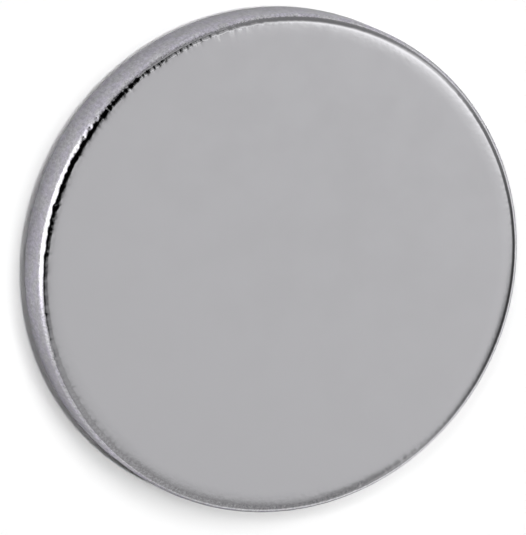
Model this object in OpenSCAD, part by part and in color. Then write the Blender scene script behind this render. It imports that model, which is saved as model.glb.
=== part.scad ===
// Disc magnet: one solid puck, sintered, tumbled until both edges are round, then plated bright.
// Tumbling also wears the border of each pole face, so the flat rolls off before the round edge.
// The origin is the centre of the lower pole face, and +Z runs through the disc to the upper one.

/* [Disc] */
// Diameter across the rim
magnet_d = 25; // [8:0.5:60]
// Thickness from one pole face to the other
magnet_h = 3; // [1.5:0.25:20]

/* [Edges] */
// Radius of the round edge between the worn border of each pole face and the rim
edge_r = 0.45; // [0.1:0.05:0.6]
// Width of the worn border, measured along a radius of the disc
shoulder_w = 0.7; // [0.1:0.1:1.5]
// Slope that the worn border has reached where it meets the round edge, in degrees
shoulder_slope = 4; // [1:0.5:8]

/* [Hidden] */
$fn = 180;
rim_r = magnet_d / 2;
// The worn border is an arc of this radius, level where it leaves the flat. It turns through a few
// degrees only, so its circle is drawn with more sides than the others.
shoulder_r = shoulder_w / sin(shoulder_slope);
shoulder_sides = 720;
shoulder_drop = shoulder_r * (1 - cos(shoulder_slope));
// Height over the pole face at which the straight rim starts
rim_z = shoulder_drop + edge_r * cos(shoulder_slope);
// Radius of the flat part of each pole face
flat_r = rim_r - edge_r * (1 - sin(shoulder_slope)) - shoulder_w;

// One edge in section, with its pole face at height 0: two arcs that share a tangent where they
// meet, the first tangent to the flat and the second to the rim.
module edge_section() {
    intersection() {
        translate([flat_r, shoulder_r]) circle(r = shoulder_r, $fn = shoulder_sides);
        translate([flat_r, 0]) square([shoulder_w, magnet_h / 2]);
    }
    translate([rim_r - edge_r, rim_z]) circle(r = edge_r);
}

// Half of the section through the axis
module half_section() {
    square([flat_r, magnet_h]);
    translate([0, rim_z]) square([rim_r, magnet_h - 2 * rim_z]);
    edge_section();
    translate([0, magnet_h]) mirror([0, 1]) edge_section();
}

module disc_magnet() {
    color([0.70, 0.70, 0.72]) rotate_extrude() half_section();
}

disc_magnet();
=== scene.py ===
import math

import bpy
import numpy as np
from mathutils import Matrix, Vector


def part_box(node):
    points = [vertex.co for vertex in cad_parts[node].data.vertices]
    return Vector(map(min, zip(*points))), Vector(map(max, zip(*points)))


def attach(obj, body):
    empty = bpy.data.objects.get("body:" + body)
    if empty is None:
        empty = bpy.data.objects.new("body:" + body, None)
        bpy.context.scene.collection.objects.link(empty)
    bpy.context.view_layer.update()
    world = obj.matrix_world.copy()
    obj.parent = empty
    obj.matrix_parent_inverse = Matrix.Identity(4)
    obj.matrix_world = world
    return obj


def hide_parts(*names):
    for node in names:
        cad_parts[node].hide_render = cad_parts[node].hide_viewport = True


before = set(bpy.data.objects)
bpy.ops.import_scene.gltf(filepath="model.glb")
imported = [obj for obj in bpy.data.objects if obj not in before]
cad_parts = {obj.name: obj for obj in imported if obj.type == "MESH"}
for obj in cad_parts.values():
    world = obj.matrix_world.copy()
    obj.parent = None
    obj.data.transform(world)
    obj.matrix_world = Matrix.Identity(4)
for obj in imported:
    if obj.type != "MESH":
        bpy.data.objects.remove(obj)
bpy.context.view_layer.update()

MM = 0.001

# ---------------------------------------------------------------- sizes, in metres
NODE = "disc_magnet"
_, high_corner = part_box(NODE)
RIM_R = high_corner.x
HEIGHT = high_corner.z
# The section of one edge, as in the CAD source: a worn border that rolls off to this slope over
# this width, and a round edge between it and the straight rim.
EDGE_R = 0.45 * MM
SHOULDER_W = 0.7 * MM
SHOULDER_SLOPE = math.radians(4)

# ---------------------------------------------------------------- the disc's mesh
SEGMENTS = 1620
FLAT_ROWS = 2
SHOULDER_ROWS = 9
EDGE_ROWS = 17
RIM_ROWS = 1

# The wear of the edge. Distances out are measured from the flat along the section, and how near an
# azimuth is means the cosine of the angle away from it.
#
# The edge's radius varies by these shares, over bumps of these lengths.
UNEVEN = ((0.05, 0.6 * MM), (0.04, 0.3 * MM), (0.05, 0.13 * MM))
# Shallow waves run over all of it, with these depths and lengths, and lie this deep on average.
WAVES = ((0.0006 * MM, 0.25 * MM), (0.0008 * MM, 0.9 * MM))
WAVE_LEVEL = 0.0014 * MM
# Deeper dents start and are full at these distances out.
DENT_DEPTH = 0.007 * MM
DENT_LENGTH = 0.18 * MM
DENTS_FROM, DENTS_FULL = 0.5 * MM, 0.75 * MM
# Waves and dents grow over this distance from the flat, and die out between these slopes.
WEAR_GROWS = 0.3 * MM
WEAR_FULL_TO, WEAR_GONE_AT = math.radians(45), math.radians(80)
# The edges are marked most near one azimuth: how near the marks start to grow and are full.
MARKED_SIDE = math.radians(138)
MARKED_FROM, MARKED_FULL = 0.62, 0.92
LEAST_MARKED = 0.15
# Near a second azimuth they are marked a little.
LIGHT_MARKED_SIDE = math.radians(212)
LIGHT_MARKED_FROM, LIGHT_MARKED_FULL = 0.86, 0.97
LIGHT_MARKED = 0.3
# Near another azimuth the border is worn rounder: how deep, how far out and how wide.
ROUNDED_SIDE = math.radians(320)
ROUNDED_FROM, ROUNDED_FULL = 0.72, 0.95
ROUNDED_DEPTH = 0.02 * MM
ROUNDED_OUT = 0.85 * MM
ROUNDED_WIDTH = 0.25 * MM
# Single nicks in the upper edge: azimuth in degrees, distance out, size and depth.
NICKS = (
    (164.3, 0.88 * MM, 0.11 * MM, 0.040 * MM),
    (150.2, 1.06 * MM, 0.08 * MM, 0.014 * MM),
    (147.5, 1.04 * MM, 0.10 * MM, 0.036 * MM),
    (144.9, 1.05 * MM, 0.11 * MM, 0.038 * MM),
    (142.4, 1.06 * MM, 0.11 * MM, 0.038 * MM),
    (189, 0.92 * MM, 0.08 * MM, 0.010 * MM),
    (98, 0.66 * MM, 0.12 * MM, 0.002 * MM),
    (292, 0.78 * MM, 0.12 * MM, 0.012 * MM),
)

rng = np.random.default_rng(25)


def ring_noise(feature):
    """Smooth values from -1 to 1 round the rim, which close up. feature is the length of a bump."""
    knots = max(4, round(2 * math.pi * RIM_R / feature))
    values = rng.uniform(-1, 1, knots)
    place = np.arange(SEGMENTS) * knots / SEGMENTS
    first = np.floor(place).astype(int)
    part = place - first
    ease = part * part * (3 - 2 * part)
    return values[first % knots] * (1 - ease) + values[(first + 1) % knots] * ease


def wave_rows(path, feature):
    """Noise over a band: a ring of noise at each step of feature, blended along the section."""
    steps = int(np.ceil(path[-1] / feature)) + 2
    rings = np.array([ring_noise(feature) for _ in range(steps)])
    place = path / feature
    first = np.floor(place).astype(int)
    part = (place - first)[:, None]
    ease = part * part * (3 - 2 * part)
    return rings[first] * (1 - ease) + rings[first + 1] * ease


def section(edge_r):
    """Radii, depths and slopes along one half of the section, for each edge radius round the rim."""
    roll_r = SHOULDER_W / math.sin(SHOULDER_SLOPE)
    roll_drop = roll_r * (1 - math.cos(SHOULDER_SLOPE))
    roll_end = RIM_R - edge_r * (1 - math.sin(SHOULDER_SLOPE))
    flat_r = roll_end - SHOULDER_W
    centre_depth = roll_drop + edge_r * math.cos(SHOULDER_SLOPE)
    rows = [(flat_r * i / FLAT_ROWS, 0 * edge_r, 0) for i in range(1, FLAT_ROWS + 1)]
    for slope in np.linspace(0, SHOULDER_SLOPE, SHOULDER_ROWS + 1)[1:]:
        drop = roll_r * (1 - math.cos(slope))
        rows.append((flat_r + roll_r * math.sin(slope), drop + 0 * edge_r, slope))
    for slope in np.linspace(SHOULDER_SLOPE, math.pi / 2, EDGE_ROWS + 1)[1:]:
        out = edge_r * (1 - math.sin(slope))
        rows.append((RIM_R - out, centre_depth - edge_r * math.cos(slope), slope))
    for i in range(1, RIM_ROWS + 1):
        depth = centre_depth + (HEIGHT / 2 - centre_depth) * i / RIM_ROWS
        rows.append((RIM_R + 0 * edge_r, depth, math.pi / 2))
    radii, depths, slopes = zip(*rows)
    return np.array(radii), np.array(depths), np.array(slopes)


def near_side(azimuth, start, full):
    """1 for the segments near an azimuth and 0 for those away from it."""
    nearness = np.cos(2 * math.pi * np.arange(SEGMENTS) / SEGMENTS - azimuth)
    share = np.clip((nearness - start) / (full - start), 0, 1)
    return share * share * (3 - 2 * share)


def marked():
    """How marked the edge is at each segment, from LEAST_MARKED to 1."""
    full = (1 - LEAST_MARKED) * near_side(MARKED_SIDE, MARKED_FROM, MARKED_FULL)
    light = LIGHT_MARKED * near_side(LIGHT_MARKED_SIDE, LIGHT_MARKED_FROM, LIGHT_MARKED_FULL)
    return LEAST_MARKED + full + light


def wear(path, slopes):
    """How far inward the waves and dents lie."""
    waves = sum(depth * wave_rows(path, feature) for depth, feature in WAVES)
    dents = DENT_DEPTH * (1 + wave_rows(path, DENT_LENGTH)) * marked()
    on_edge = np.clip((path - DENTS_FROM) / (DENTS_FULL - DENTS_FROM), 0, 1)
    inward = waves + WAVE_LEVEL + dents * on_edge[:, None]
    grown = np.clip(path / WEAR_GROWS, 0, 1)
    left = np.clip((WEAR_GONE_AT - slopes) / (WEAR_GONE_AT - WEAR_FULL_TO), 0, 1)
    return inward * (grown * left)[:, None]


def rounding(path):
    """How far inward the border lies where it is worn rounder."""
    roll = np.exp(-(((path - ROUNDED_OUT) / ROUNDED_WIDTH) ** 2))
    return ROUNDED_DEPTH * roll[:, None] * near_side(ROUNDED_SIDE, ROUNDED_FROM, ROUNDED_FULL)


def nick(path, azimuth, out, size, depth):
    away = (np.arange(SEGMENTS) / SEGMENTS * 360 - azimuth) % 360
    along = np.radians(np.minimum(away, 360 - away)) * RIM_R
    return depth * np.exp(-(along**2 + (path[:, None] - out) ** 2) / size**2)


def worn_half(nicks=()):
    """Radii and depths of one half of the disc, with its edge worn by the tumbling."""
    uneven = sum(share * ring_noise(feature) for share, feature in UNEVEN) * marked()
    radii, depths, slopes = section(EDGE_R * (1 + uneven))
    steps = np.hypot(np.diff(radii.mean(1)), np.diff(depths.mean(1)))
    path = np.concatenate([[0], np.cumsum(steps)])
    path = np.clip(path - path[FLAT_ROWS - 1], 0, None)
    inward = wear(path, slopes) + rounding(path)
    for each in nicks:
        inward = inward + nick(path, *each)
    return radii - inward * np.sin(slopes)[:, None], depths + inward * np.cos(slopes)[:, None]


def disc_mesh():
    """One closed mesh: a point at the middle of each pole face, and rings of segments between them."""
    top_r, top_depth = worn_half(NICKS)
    low_r, low_depth = worn_half()
    radii = np.concatenate([top_r, low_r[:-1][::-1]])
    heights = np.concatenate([HEIGHT - top_depth, low_depth[:-1][::-1]])
    turn = 2 * math.pi * np.arange(SEGMENTS) / SEGMENTS
    rings = np.stack([radii * np.cos(turn), radii * np.sin(turn), heights], axis=-1)
    verts = [(0, 0, HEIGHT), (0, 0, 0)] + rings.reshape(-1, 3).tolist()
    first_ring = 2
    last_ring = first_ring + (len(radii) - 1) * SEGMENTS
    faces = []
    for here in range(SEGMENTS):
        after = (here + 1) % SEGMENTS
        faces.append((0, first_ring + here, first_ring + after))
        for ring in range(first_ring, last_ring, SEGMENTS):
            under = ring + SEGMENTS
            faces.append((ring + here, under + here, under + after, ring + after))
        faces.append((1, last_ring + after, last_ring + here))
    mesh = bpy.data.meshes.new("magnet")
    mesh.from_pydata(verts, [], faces)
    mesh.shade_smooth()
    return mesh


# ---------------------------------------------------------------- shader helpers
class Nodes:
    """The node tree of a material, lamp or world, with short calls to add nodes and join them."""

    def __init__(self, owner):
        owner.use_nodes = True
        self.tree = owner.node_tree
        self.tree.nodes.clear()

    def add(self, kind, **settings):
        node = self.tree.nodes.new(kind)
        for name, value in settings.items():
            setattr(node, name, value)
        return node

    def feed(self, socket, value):
        if isinstance(value, bpy.types.NodeSocket):
            self.tree.links.new(value, socket)
        else:
            socket.default_value = value

    def math(self, operation, a, b=0.0):
        node = self.add("ShaderNodeMath", operation=operation)
        self.feed(node.inputs[0], a)
        self.feed(node.inputs[1], b)
        return node.outputs[0]

    def vector(self, operation, a, b=(0, 0, 0), output="Vector"):
        node = self.add("ShaderNodeVectorMath", operation=operation)
        self.feed(node.inputs[0], a)
        self.feed(node.inputs[1], b)
        return node.outputs[output]

    def scale(self, vector, factor):
        node = self.add("ShaderNodeVectorMath", operation="SCALE")
        self.feed(node.inputs[0], vector)
        self.feed(node.inputs["Scale"], factor)
        return node.outputs["Vector"]

    def split(self, vector):
        node = self.add("ShaderNodeSeparateXYZ")
        self.feed(node.inputs[0], vector)
        return [node.outputs[axis] for axis in "XYZ"]

    def join(self, x=0.0, y=0.0, z=0.0):
        node = self.add("ShaderNodeCombineXYZ")
        for axis, value in zip("XYZ", (x, y, z)):
            self.feed(node.inputs[axis], value)
        return node.outputs["Vector"]

    def ramp(self, value, low, high, to_low=0.0, to_high=1.0):
        """Goes smoothly from to_low to to_high while the value goes from low to high."""
        node = self.add("ShaderNodeMapRange", interpolation_type="SMOOTHSTEP")
        self.feed(node.inputs["Value"], value)
        self.feed(node.inputs["From Min"], low)
        self.feed(node.inputs["From Max"], high)
        self.feed(node.inputs["To Min"], to_low)
        self.feed(node.inputs["To Max"], to_high)
        return node.outputs["Result"]

    def blend(self, factor, a, b, kind="FLOAT"):
        node = self.add("ShaderNodeMix", data_type=kind)
        self.feed(node.inputs["Factor"], factor)
        self.feed(node.inputs["A"], a)
        self.feed(node.inputs["B"], b)
        return node.outputs["Result"]

    def blend_colour(self, factor, a, b):
        return self.blend(factor, a, b, "RGBA")

    def noise(self, place, feature, detail=2.0):
        """Noise whose bumps are about feature long, in metres."""
        node = self.add("ShaderNodeTexNoise")
        self.feed(node.inputs["Vector"], place)
        self.feed(node.inputs["Scale"], 1 / feature)
        self.feed(node.inputs["Detail"], detail)
        return node.outputs["Fac"]

    def patches(self, place, feature, detail=2.0, spread=0.2):
        """Noise stretched to run from 0 to 1. A smaller spread gives patches with clearer borders."""
        return self.ramp(self.noise(place, feature, detail), 0.5 - spread, 0.5 + spread)

    def emission(self, strength):
        node = self.add("ShaderNodeEmission")
        self.feed(node.inputs["Strength"], strength)
        return node.outputs["Emission"]

    def end(self, result, kind="ShaderNodeOutputMaterial"):
        self.feed(self.add(kind).inputs["Surface"], result)


# ---------------------------------------------------------------- the magnet's material
# Slopes over which the bright plate turns into satin, in colour and in roughness, and over which
# the flat turns into the edge. The satin's darker colour is partly painted shade.
COLOUR_FROM, COLOUR_TO = math.radians(28), math.radians(56)
ROUGH_FROM, ROUGH_TO = math.radians(34), math.radians(52)
EDGE_FROM, EDGE_TO = math.radians(1), math.radians(8)
# Lengths of the bumps in each noise.
GRAIN = 0.09 * MM
STREAK = 0.14 * MM
PATCH = 0.6 * MM
CLOUD = 2.5 * MM
CLOUD_DETAIL = 3.0
CLEAR_SPREAD = 0.1
# How much of the mottle is streaks, and the rest is grain.
STREAK_SHARE = 0.4
# The darkest and palest colour of the bright plate, of the border where it is worn to a mottle, and
# of the two shades of satin. The satin is darker than the plate partly as a duller finish and partly
# as painted shade, which stands in for a grey floor mirrored in the rim.
PLATE = (0.711, 0.705, 0.730, 1), (0.733, 0.727, 0.754, 1)
ETCHED = (0.57, 0.564, 0.587, 1), (0.87, 0.861, 0.888, 1)
GREY_SATIN_AND_SHADE = (0.25, 0.246, 0.261, 1), (0.51, 0.503, 0.527, 1)
LAVENDER_SATIN_AND_SHADE = (0.25, 0.239, 0.274, 1), (0.51, 0.491, 0.555, 1)
# How much of the metal's colour is left where it is seen at a grazing angle.
GRAZING = (0.59, 0.59, 0.60, 1)
# Roughness of the pole faces, of the satin, and of the round edges, which the tumbling burnished.
BRIGHT_ROUGHNESS = 0.12, 0.18
DULL_ROUGHNESS = 0.28, 0.40
BURNISHED = 0.10
# The border is worn to a mottle near this azimuth: how near it starts and is full.
MOTTLED_SIDE = math.radians(262)
MOTTLED_FROM, MOTTLED_FULL = 0.40, 0.85
# Painted light and shade on the satin: its brightness goes from its foot to its border between these
# shares of the height, darker at the foot as painted shade of the floor mirrored there and brighter at
# the border as painted light. The foot is painted paler near one azimuth, and the border painted
# darker near another: how near that starts and is full, and the brightness away from the azimuth and
# at it.
FOOT_AT, BORDER_AT = 0.2, 0.9
PAINTED_LIGHT_SIDE = math.radians(206)
PAINTED_FOOT_LIGHT = 0.80, 0.97, 0.85, 1.32
PAINTED_SHADE_SIDE = math.radians(262)
PAINTED_BORDER_LIGHT = 0.80, 0.95, 1.24, 0.72
# Shallow pits all over, and fine marks that run across the edges: lengths and depths, and how long
# a mark is for its width.
PIT_LENGTH = 0.2 * MM
PIT_DEPTH = 0.002 * MM
STROKE_LENGTH = 0.11 * MM
STROKE_DEPTH = 0.0055 * MM
STROKE_STRETCH = 3


def stroke_place(nodes, spot):
    """A place on the disc that is stretched along the section, for marks that run across the edge."""
    x, y, z = nodes.split(spot)
    flat = nodes.join(x, y)
    radius = nodes.vector("LENGTH", flat, output="Value")
    from_middle = nodes.math("ABSOLUTE", nodes.math("SUBTRACT", z, HEIGHT / 2))
    along = nodes.math("MULTIPLY", nodes.math("SUBTRACT", radius, from_middle), 1 / STROKE_STRETCH)
    ring = nodes.scale(nodes.vector("NORMALIZE", flat), RIM_R)
    return nodes.vector("ADD", ring, nodes.join(z=along))


def nearness(nodes, spot, azimuth):
    """1 on the rim at an azimuth, and less on either side of it."""
    outward = (math.cos(azimuth) / RIM_R, math.sin(azimuth) / RIM_R, 0)
    return nodes.vector("DOT_PRODUCT", spot, outward, output="Value")


def steeper(nodes, upright, start, full):
    """0 where the surface is flatter than one slope, and 1 where it is steeper than the other."""
    return nodes.ramp(upright, math.cos(full), math.cos(start), 1.0, 0.0)


def satin_and_painted_shade_colour(nodes, spot, mottle):
    # The satin's darker colour is partly a duller finish and partly painted shade.
    grey = nodes.blend_colour(mottle, *GREY_SATIN_AND_SHADE)
    lavender = nodes.blend_colour(mottle, *LAVENDER_SATIN_AND_SHADE)
    satin_and_shade = nodes.blend_colour(nodes.patches(spot, PATCH, spread=CLEAR_SPREAD), grey, lavender)
    # Painted light and shade: the satin is scaled darker at its foot and brighter at its border, paler
    # at the foot near one azimuth and darker at the border near another.
    painted_foot = nodes.ramp(nearness(nodes, spot, PAINTED_LIGHT_SIDE), *PAINTED_FOOT_LIGHT)
    border = nodes.ramp(nearness(nodes, spot, PAINTED_SHADE_SIDE), *PAINTED_BORDER_LIGHT)
    height = nodes.split(spot)[2]
    return nodes.scale(satin_and_shade, nodes.ramp(height, FOOT_AT * HEIGHT, BORDER_AT * HEIGHT, painted_foot, border))


def plate_colour(nodes, spot, mottle, cloud, on_edge):
    plate = nodes.blend_colour(cloud, *PLATE)
    etched = nodes.blend_colour(mottle, *ETCHED)
    mottled = nodes.ramp(nearness(nodes, spot, MOTTLED_SIDE), MOTTLED_FROM, MOTTLED_FULL)
    return nodes.blend_colour(nodes.math("MULTIPLY", mottled, on_edge), plate, etched)


def bumps(nodes, spot, strokes, on_edge):
    """The surface's direction with its pits, and with the marks where the edge is marked."""
    pits = nodes.add("ShaderNodeBump")
    pits.inputs["Distance"].default_value = PIT_DEPTH
    nodes.feed(pits.inputs["Height"], nodes.noise(spot, PIT_LENGTH))
    marks = nodes.add("ShaderNodeBump")
    marks.inputs["Distance"].default_value = STROKE_DEPTH
    near = nearness(nodes, spot, MARKED_SIDE)
    marked_here = nodes.ramp(near, MARKED_FROM, MARKED_FULL, LEAST_MARKED, 1.0)
    strength = nodes.math("MULTIPLY", marked_here, on_edge)
    height = nodes.math("MULTIPLY", nodes.noise(strokes, STROKE_LENGTH), strength)
    nodes.feed(marks.inputs["Height"], height)
    nodes.feed(marks.inputs["Normal"], pits.outputs["Normal"])
    return marks.outputs["Normal"]


def nickel_plate():
    """Bright nickel on the pole faces and round edges, which turns to a duller satin on the rim, whose
    darker colour and brightness up the rim are partly painted shade and painted light.
    """
    material = bpy.data.materials.new("nickel_plate")
    nodes = Nodes(material)
    place = nodes.add("ShaderNodeTexCoord")
    spot = place.outputs["Object"]
    upright = nodes.math("ABSOLUTE", nodes.split(place.outputs["Normal"])[2])
    on_edge = steeper(nodes, upright, EDGE_FROM, EDGE_TO)
    strokes = stroke_place(nodes, spot)
    grain = nodes.patches(spot, GRAIN)
    cloud = nodes.patches(spot, CLOUD, CLOUD_DETAIL)
    mottle = nodes.blend(STREAK_SHARE, grain, nodes.patches(strokes, STREAK))
    plate = plate_colour(nodes, spot, mottle, cloud, on_edge)
    satin_and_shade = satin_and_painted_shade_colour(nodes, spot, mottle)
    bright = nodes.blend(on_edge, nodes.blend(cloud, *BRIGHT_ROUGHNESS), BURNISHED)
    dull = nodes.blend(grain, *DULL_ROUGHNESS)
    colour = nodes.blend_colour(steeper(nodes, upright, COLOUR_FROM, COLOUR_TO), plate, satin_and_shade)
    roughness = nodes.blend(steeper(nodes, upright, ROUGH_FROM, ROUGH_TO), bright, dull)
    metal = nodes.add("ShaderNodeBsdfPrincipled")
    metal.inputs["Metallic"].default_value = 1
    metal.inputs["Specular Tint"].default_value = GRAZING
    nodes.feed(metal.inputs["Base Color"], colour)
    nodes.feed(metal.inputs["Roughness"], roughness)
    nodes.feed(metal.inputs["Normal"], bumps(nodes, spot, strokes, on_edge))
    nodes.end(metal.outputs["BSDF"])
    return material


# ---------------------------------------------------------------- floor and backdrop
FLOOR_R = 0.75
FLOOR_SIDES = 96
BACKDROP_HEIGHT = 0.065
FLOOR_COLOUR = (0.97, 0.97, 0.97, 1)
FLOOR_GLOW = 0.015


def seen_rays(nodes):
    """1 for what is seen, also in metal or through glass, and 0 for light that falls on things."""
    path = nodes.add("ShaderNodeLightPath")
    seen = nodes.math("MAXIMUM", path.outputs["Is Camera Ray"], path.outputs["Is Glossy Ray"])
    return nodes.math("MAXIMUM", seen, path.outputs["Is Transmission Ray"])


def white_floor():
    """White, and a little brighter still where it is seen, so that the ground is white in the view."""
    material = bpy.data.materials.new("white_floor")
    nodes = Nodes(material)
    diffuse = nodes.add("ShaderNodeBsdfDiffuse")
    diffuse.inputs["Color"].default_value = FLOOR_COLOUR
    both = nodes.add("ShaderNodeAddShader")
    nodes.feed(both.inputs[0], diffuse.outputs["BSDF"])
    nodes.feed(both.inputs[1], nodes.emission(nodes.math("MULTIPLY", seen_rays(nodes), FLOOR_GLOW)))
    nodes.end(both.outputs["Shader"])
    return material


def white_backdrop():
    material = bpy.data.materials.new("white_backdrop")
    nodes = Nodes(material)
    nodes.end(nodes.emission(seen_rays(nodes)))
    return material


def stage_ring(height):
    turns = [2 * math.pi * i / FLOOR_SIDES for i in range(FLOOR_SIDES)]
    return [(FLOOR_R * math.cos(turn), FLOOR_R * math.sin(turn), height) for turn in turns]


def stage_piece(name, verts, faces, material):
    mesh = bpy.data.meshes.new(name)
    mesh.from_pydata(verts, [], faces)
    mesh.materials.append(material)
    obj = bpy.data.objects.new(name, mesh)
    bpy.context.scene.collection.objects.link(obj)
    return obj


def stage():
    """A round white floor, and a low white wall round it, so that a low view ends in white."""
    stage_piece("floor", stage_ring(0), [tuple(range(FLOOR_SIDES))], white_floor())
    sides = [(i, (i + 1) % FLOOR_SIDES) for i in range(FLOOR_SIDES)]
    wall = [(here, after, after + FLOOR_SIDES, here + FLOOR_SIDES) for here, after in sides]
    verts = stage_ring(0) + stage_ring(BACKDROP_HEIGHT)
    backdrop = stage_piece("backdrop", verts, wall, white_backdrop())
    backdrop.visible_shadow = False
    backdrop.visible_diffuse = False


# ---------------------------------------------------------------- studio
ROOM_LEVEL = 0.36
ROOM_FILL = 0.01
# The studio round the disc: what is there, the azimuth and polar angle of its middle, its half
# width, how soft its border is, all in degrees, and how bright it is. Later rows lie over earlier.
PANELS = (
    ("ceiling over the far side", -30, 22, 39.5, 22, 0.607),
    ("brighter end of the ceiling", -12, 38, 12, 12, 0.67),
    ("grey flag", 283, 45.5, 25.3, 4, 0.27),
    ("softbox", 19, 38, 19, 5, 1.30),
    ("second softbox", 78, 27.5, 15.5, 5, 1.95),
    ("dark end of the room", -10, 61, 25, 14, 0.19),
    ("darkest part of it", -16, 61, 12, 12, 0.05),
    ("dark flag", 58, 48, 19, 38, 0.21),
    ("camera and its black card", 165, 36.5, 40.5, 23, 0.0),
    ("grey flag at the back", 107.5, 65.5, 16.5, 5, 0.40),
    ("grey wall", 255.5, 42.5, 20, 39, 0.37),
    ("pale wall low on the near side", 272, 150, 76, 12, 0.50),
)
# The lamps: azimuth and polar angle of each, its width in degrees and its strength. The narrow one
# gives the dark line at the disc's foot, and the others the soft shadow beside it.
LAMPS = {
    "overhead_lamp": (44, 4.1, 1.6, 1.17),
    "key_softbox": (80, 26, 22.5, 1.015),
    "fill_softbox": (22, 12, 19.5, 0.83),
    "side_softbox": (138, 33, 8, 0.345),
}
# A strip light stands upright close to the left of the disc, and only reflections show it. It runs
# along Y from its near end to its far end and fades out at both. Its near part is dimmer.
STRIP_GAP = 7.9 * MM
STRIP_START, STRIP_END = -11.5 * MM, 15.9 * MM
STRIP_NEAR_BORDER, STRIP_FAR_BORDER = 3.5 * MM, 4.6 * MM
STRIP_DIM_TO, STRIP_BRIGHT_FROM = -6.5 * MM, -0.5 * MM
STRIP_DIM, STRIP_BRIGHT = 0.75, 2.8
# It is brightest up to the first of these heights, keeps a share of that from the second one on,
# and fades out from the third to its top.
STRIP_LOW_TO, STRIP_HIGH_FROM = 4.9 * MM, 6.2 * MM
STRIP_HIGH_SHARE = 0.48
STRIP_FADE_FROM, STRIP_HEIGHT = 7.5 * MM, 9.5 * MM


def direction(azimuth, polar):
    """Unit vector at an angle from straight up (polar) and round from +X (azimuth), in degrees."""
    a, p = math.radians(azimuth), math.radians(polar)
    return Vector((math.sin(p) * math.cos(a), math.sin(p) * math.sin(a), math.cos(p)))


def before_floor(nodes):
    """1 for light that has met metal only, so that the studio shows in the disc but casts no patches."""
    depth = nodes.add("ShaderNodeLightPath").outputs["Diffuse Depth"]
    return nodes.math("LESS_THAN", depth, 0.5)


def studio_world():
    world = bpy.data.worlds.new("studio")
    bpy.context.scene.world = world
    nodes = Nodes(world)
    outward = nodes.add("ShaderNodeTexCoord").outputs["Generated"]
    level = ROOM_LEVEL
    for _, azimuth, polar, half_width, border, brightness in PANELS:
        near = nodes.vector("DOT_PRODUCT", outward, direction(azimuth, polar), output="Value")
        outer = math.cos(math.radians(half_width + border / 2))
        inner = math.cos(math.radians(max(half_width - border / 2, 0)))
        level = nodes.blend(nodes.ramp(near, outer, inner), level, brightness)
    back = nodes.add("ShaderNodeBackground")
    back.inputs["Color"].default_value = (1, 1, 1, 1)
    nodes.feed(back.inputs["Strength"], nodes.blend(before_floor(nodes), ROOM_FILL, level))
    nodes.end(back.outputs["Background"], "ShaderNodeOutputWorld")


def lamps():
    for name, (azimuth, polar, width, strength) in LAMPS.items():
        data = bpy.data.lights.new(name, "SUN")
        data.energy = strength
        data.angle = math.radians(width)
        lamp = bpy.data.objects.new(name, data)
        lamp.rotation_euler = direction(azimuth, polar).to_track_quat("Z", "Y").to_euler()
        lamp.visible_glossy = False
        bpy.context.scene.collection.objects.link(lamp)


def strip_brightness(nodes):
    _, along, up = nodes.split(nodes.add("ShaderNodeNewGeometry").outputs["Position"])
    bright = nodes.ramp(along, STRIP_DIM_TO, STRIP_BRIGHT_FROM, STRIP_DIM, STRIP_BRIGHT)
    near_end = nodes.ramp(along, STRIP_START, STRIP_START + STRIP_NEAR_BORDER)
    far_end = nodes.ramp(along, STRIP_END - STRIP_FAR_BORDER, STRIP_END, 1.0, 0.0)
    top = nodes.ramp(up, STRIP_FADE_FROM, STRIP_HEIGHT, 1.0, 0.0)
    upper = nodes.ramp(up, STRIP_LOW_TO, STRIP_HIGH_FROM, 1.0, STRIP_HIGH_SHARE)
    for share in (near_end, far_end, top, upper, before_floor(nodes)):
        bright = nodes.math("MULTIPLY", bright, share)
    return bright


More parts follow.
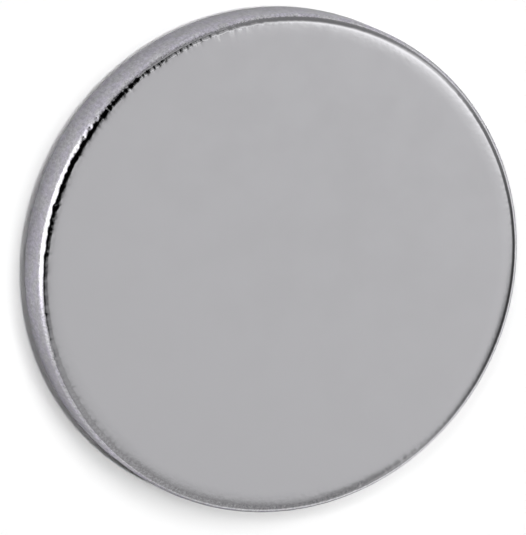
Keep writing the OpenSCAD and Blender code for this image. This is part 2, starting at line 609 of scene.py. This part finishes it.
def strip_light():
    data = bpy.data.lights.new("strip_light", "AREA")
    data.shape = "RECTANGLE"
    data.size = STRIP_END - STRIP_START
    data.size_y = STRIP_HEIGHT
    data.energy = math.pi * data.size * data.size_y
    nodes = Nodes(data)
    nodes.end(nodes.emission(strip_brightness(nodes)), "ShaderNodeOutputLight")
    lamp = bpy.data.objects.new("strip_light", data)
    lamp.rotation_euler = Vector((-1, 0, 0)).to_track_quat("Z", "Y").to_euler()
    lamp.location = (-RIM_R - STRIP_GAP, (STRIP_START + STRIP_END) / 2, STRIP_HEIGHT / 2)
    lamp.visible_camera = False
    lamp.visible_diffuse = False
    bpy.context.scene.collection.objects.link(lamp)


# ---------------------------------------------------------------- camera
LEAN = math.radians(22.67)
LEAN_AZIMUTH = math.radians(-29.85)
CAMERA_DISTANCE = 0.25
LENS = 342.8
AIM_RIGHT = -1.025 * MM
AIM_UP = -0.051 * MM
CLIP_START, CLIP_END = 0.01, 10


def camera():
    """Looks down on the disc from near its axis, leaning away from LEAN_AZIMUTH."""
    along = Vector((math.cos(LEAN_AZIMUTH), math.sin(LEAN_AZIMUTH), 0))
    across = Vector((-math.sin(LEAN_AZIMUTH), math.cos(LEAN_AZIMUTH), 0))
    up_z = Vector((0, 0, 1))
    back = -math.sin(LEAN) * along + math.cos(LEAN) * up_z
    lean = math.cos(LEAN) * along + math.sin(LEAN) * up_z
    right = math.cos(LEAN_AZIMUTH) * lean - math.sin(LEAN_AZIMUTH) * across
    up = math.sin(LEAN_AZIMUTH) * lean + math.cos(LEAN_AZIMUTH) * across
    aim = Vector((0, 0, HEIGHT)) + AIM_RIGHT * right + AIM_UP * up
    data = bpy.data.cameras.new("camera")
    data.lens = LENS
    data.clip_start = CLIP_START
    data.clip_end = CLIP_END
    obj = bpy.data.objects.new("camera", data)
    turn = Matrix((right, up, back)).transposed()
    obj.matrix_world = Matrix.Translation(aim + back * CAMERA_DISTANCE) @ turn.to_4x4()
    bpy.context.scene.collection.objects.link(obj)
    bpy.context.scene.camera = obj
    bpy.context.scene.view_settings.view_transform = "Standard"


# ---------------------------------------------------------------- the scene
def magnet():
    mesh = disc_mesh()
    mesh.materials.append(nickel_plate())
    obj = bpy.data.objects.new("magnet", mesh)
    bpy.context.scene.collection.objects.link(obj)
    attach(obj, "root")
    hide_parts(NODE)


camera()
magnet()
stage()
studio_world()
lamps()
strip_light()
